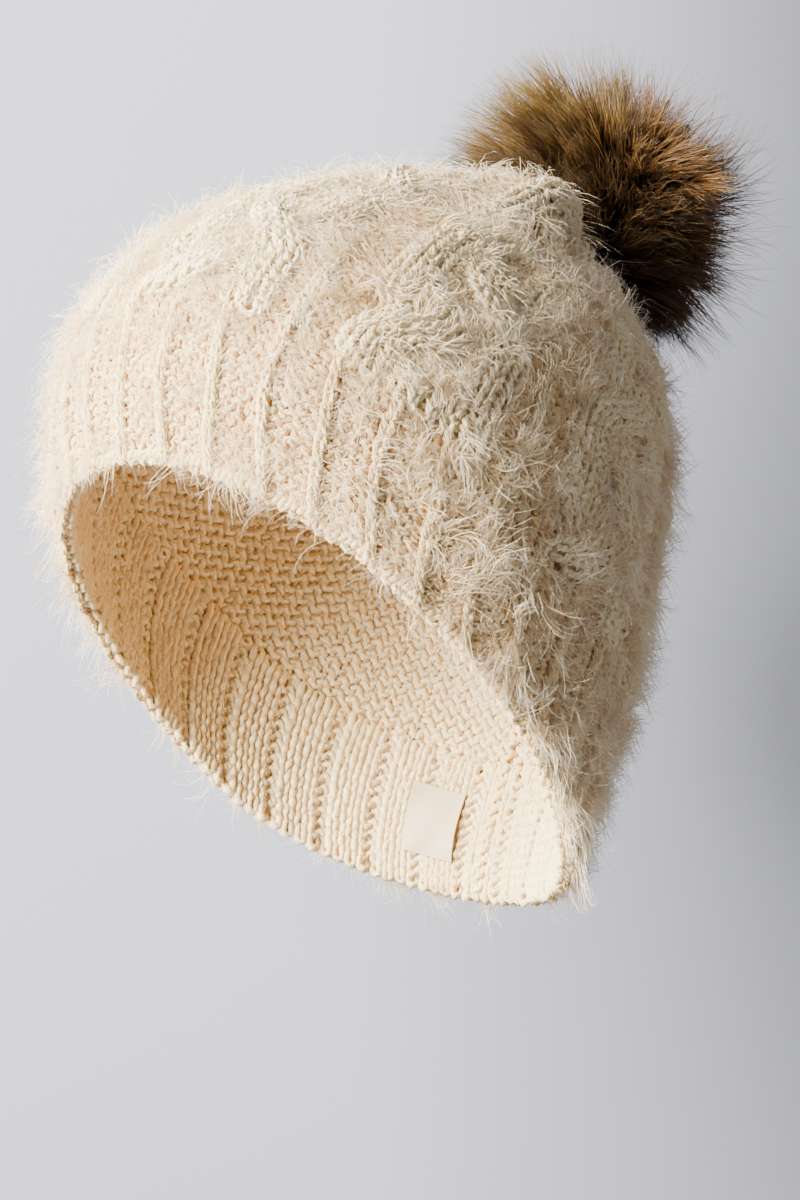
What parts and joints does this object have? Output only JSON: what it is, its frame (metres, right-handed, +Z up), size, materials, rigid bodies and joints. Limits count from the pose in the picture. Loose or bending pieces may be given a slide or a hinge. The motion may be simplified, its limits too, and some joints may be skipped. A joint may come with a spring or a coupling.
{
  "type": "pom pom beanie",
  "caption": "Slouchy cable-knit beanie in fluffy eyelash yarn with a ribbed band, and a faux-fur pom that snaps on, turns and tips on the crown.",
  "frame": {"origin": "centre of the brim's opening", "axes": "+Z up as worn on an upright head, forehead towards -Y, wearer's left towards +X; the brim dips 47 degrees from forehead to nape"},
  "size_m": [0.194, 0.257, 0.2678],
  "materials": {
    "cream_yarn": "fluffy eyelash yarn, matt with a soft halo",
    "seam_yarn": "plain spun yarn",
    "label_satin": "woven satin ribbon",
    "pale_felt": "pressed felt",
    "snap_metal": "nickel plated pressed steel",
    "spring_steel": "drawn wire",
    "brown_felt": "pressed felt",
    "dark_thread": "waxed sewing thread",
    "fur_cloth": "knitted fur backing",
    "polyester_fill": "loose fibre fill",
    "faux_fur": "long glossy pile, dark at the root and tip with a golden band"
  },
  "bodies": {
    "hat": {"rib_band": "cream_yarn", "cable_crown": "cream_yarn", "cast_on_edge": "cream_yarn", "back_seam": "seam_yarn", "care_label": "label_satin", "label_stitches": "seam_yarn", "crown_gather": "cream_yarn", "drawn_yarn": "cream_yarn", "crown_felt": "pale_felt", "socket_cap": "snap_metal", "snap_socket": "snap_metal"},
    "spring": {"socket_spring": "spring_steel"},
    "stud": {"snap_stud": "snap_metal", "stud_felt": "brown_felt", "stud_cap": "snap_metal"},
    "knot": {"tie_knot": "dark_thread"},
    "pom": {"gather_thread": "dark_thread", "fur_backing": "fur_cloth", "stuffing": "polyester_fill", "fur_pile": "faux_fur"}
  },
  "joints": [
    {"name": "snap_spin", "type": "hinge", "parent": "hat", "child": "spring", "pos_m": [0, 0.11274, 0.12837], "axis": [0, 0.7314, 0.682], "continuous": true},
    {"name": "snap_pull", "type": "slide", "parent": "spring", "child": "stud", "axis": [0, 0.7314, 0.682], "range_m": [0, 0.02]},
    {"name": "pom_nod", "type": "hinge", "parent": "stud", "child": "knot", "pos_m": [0, 0.12027, 0.1354], "axis": [1, 0, 0], "range_deg": [-10, 10], "stiffness_Nm_per_rad": 0.3},
    {"name": "pom_sway", "type": "hinge", "parent": "knot", "child": "pom", "pos_m": [0, 0.12027, 0.1354], "axis": [0, -0.682, 0.7314], "range_deg": [-10, 10], "stiffness_Nm_per_rad": 0.3}
  ]
}
